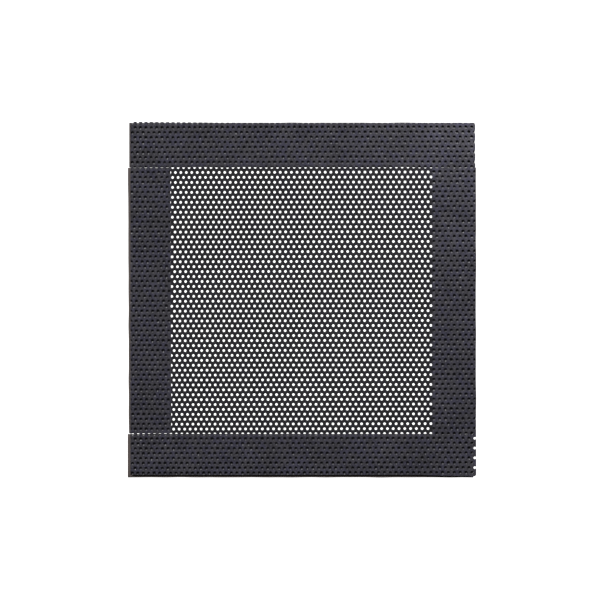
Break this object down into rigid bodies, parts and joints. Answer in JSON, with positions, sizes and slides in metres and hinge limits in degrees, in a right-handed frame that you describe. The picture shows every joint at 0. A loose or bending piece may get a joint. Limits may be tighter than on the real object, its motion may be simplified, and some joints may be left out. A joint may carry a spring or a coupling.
{
  "type": "fan dust filter",
  "caption": "Magnetic dust filter for a case fan: a soft perforated plastic sheet glued over a square frame of flexible magnet strips.",
  "frame": {"origin": "middle of the magnet strips' outline, on their back face, with the filter lying face up", "axes": "+X to the right and +Y to the top edge as the face is seen, +Z out of the face"},
  "size_m": [0.1204, 0.1228, 0.0019],
  "materials": {
    "sheet": "soft dark grey vinyl, satin",
    "magnet": "dark brown ferrite rubber, matt"
  },
  "bodies": {
    "root": {"mesh_sheet": "sheet", "top_magnet_strip": "magnet", "bottom_magnet_strip": "magnet", "left_magnet_strip": "magnet", "right_magnet_strip": "magnet"}
  },
  "joints": []
}
